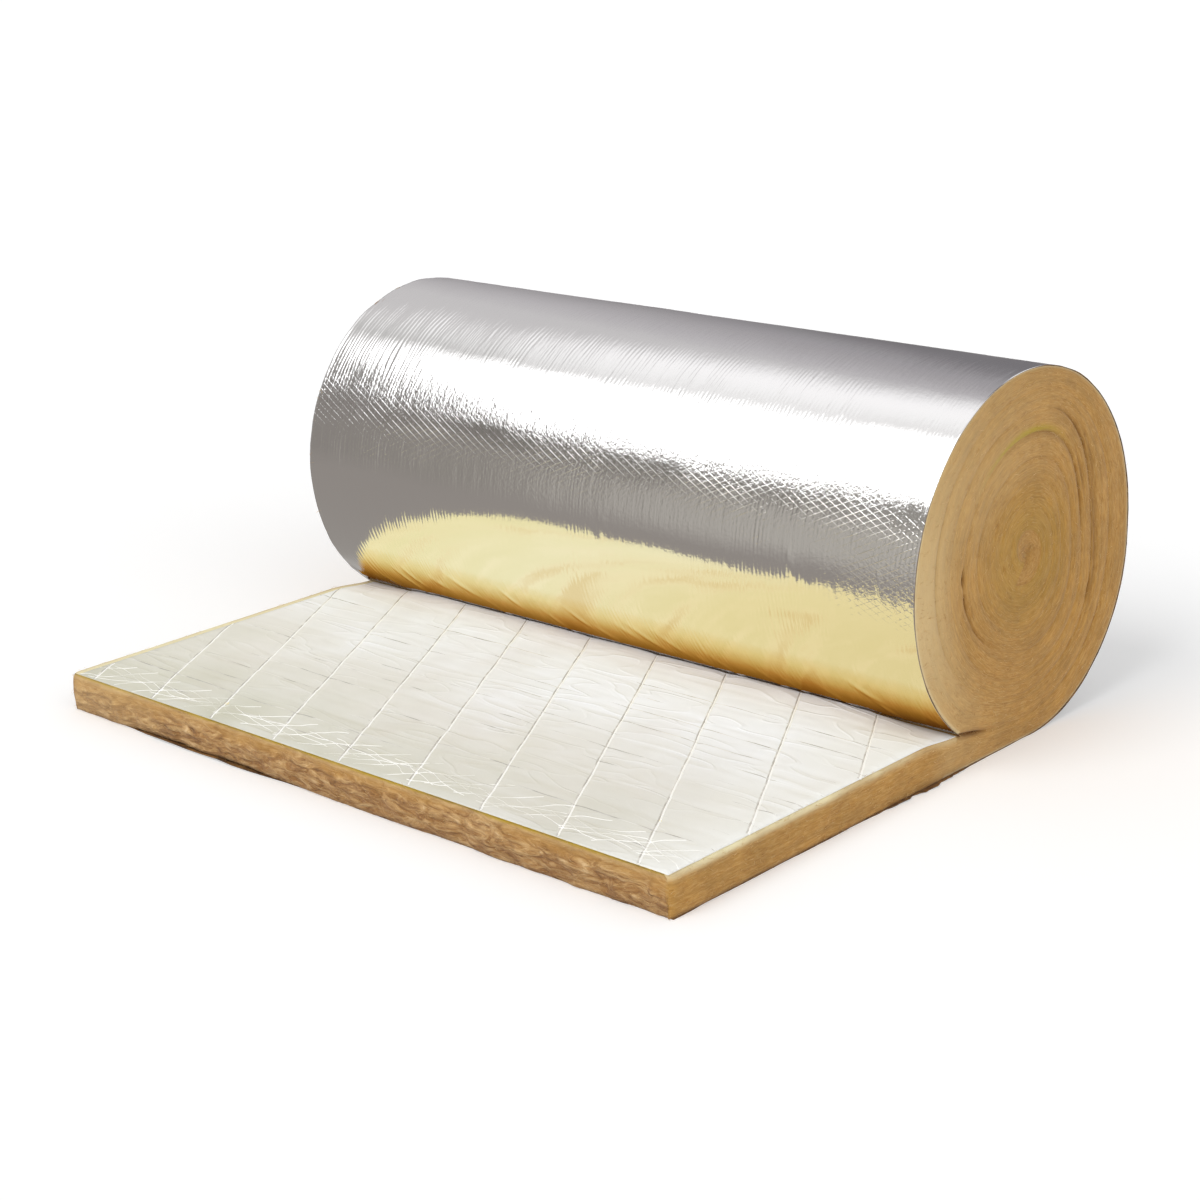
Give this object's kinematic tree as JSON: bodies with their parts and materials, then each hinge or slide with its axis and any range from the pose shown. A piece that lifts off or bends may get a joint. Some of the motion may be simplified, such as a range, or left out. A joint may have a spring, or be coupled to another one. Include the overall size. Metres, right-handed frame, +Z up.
{
  "type": "insulation roll",
  "caption": "Glass wool blanket with foil outside and a pale reinforced sheet inside, wound into a roll on its side with its loose end laid flat.",
  "frame": {"origin": "on the floor under the roll's axis, at the middle of the roll's length", "axes": "+X along the roll, +Z up, -Y towards the cut edge of the loose end"},
  "size_m": [1.2, 1.0398, 0.5393],
  "materials": {
    "glass_wool": "matt, cut fibre",
    "foil": "bright reinforced foil laminate",
    "pale_scrim": "pale metallised film over scrim, satin"
  },
  "bodies": {
    "root": {"wool_blanket": "glass_wool", "foil_facing": "foil", "scrim_facing": "pale_scrim"}
  },
  "joints": []
}
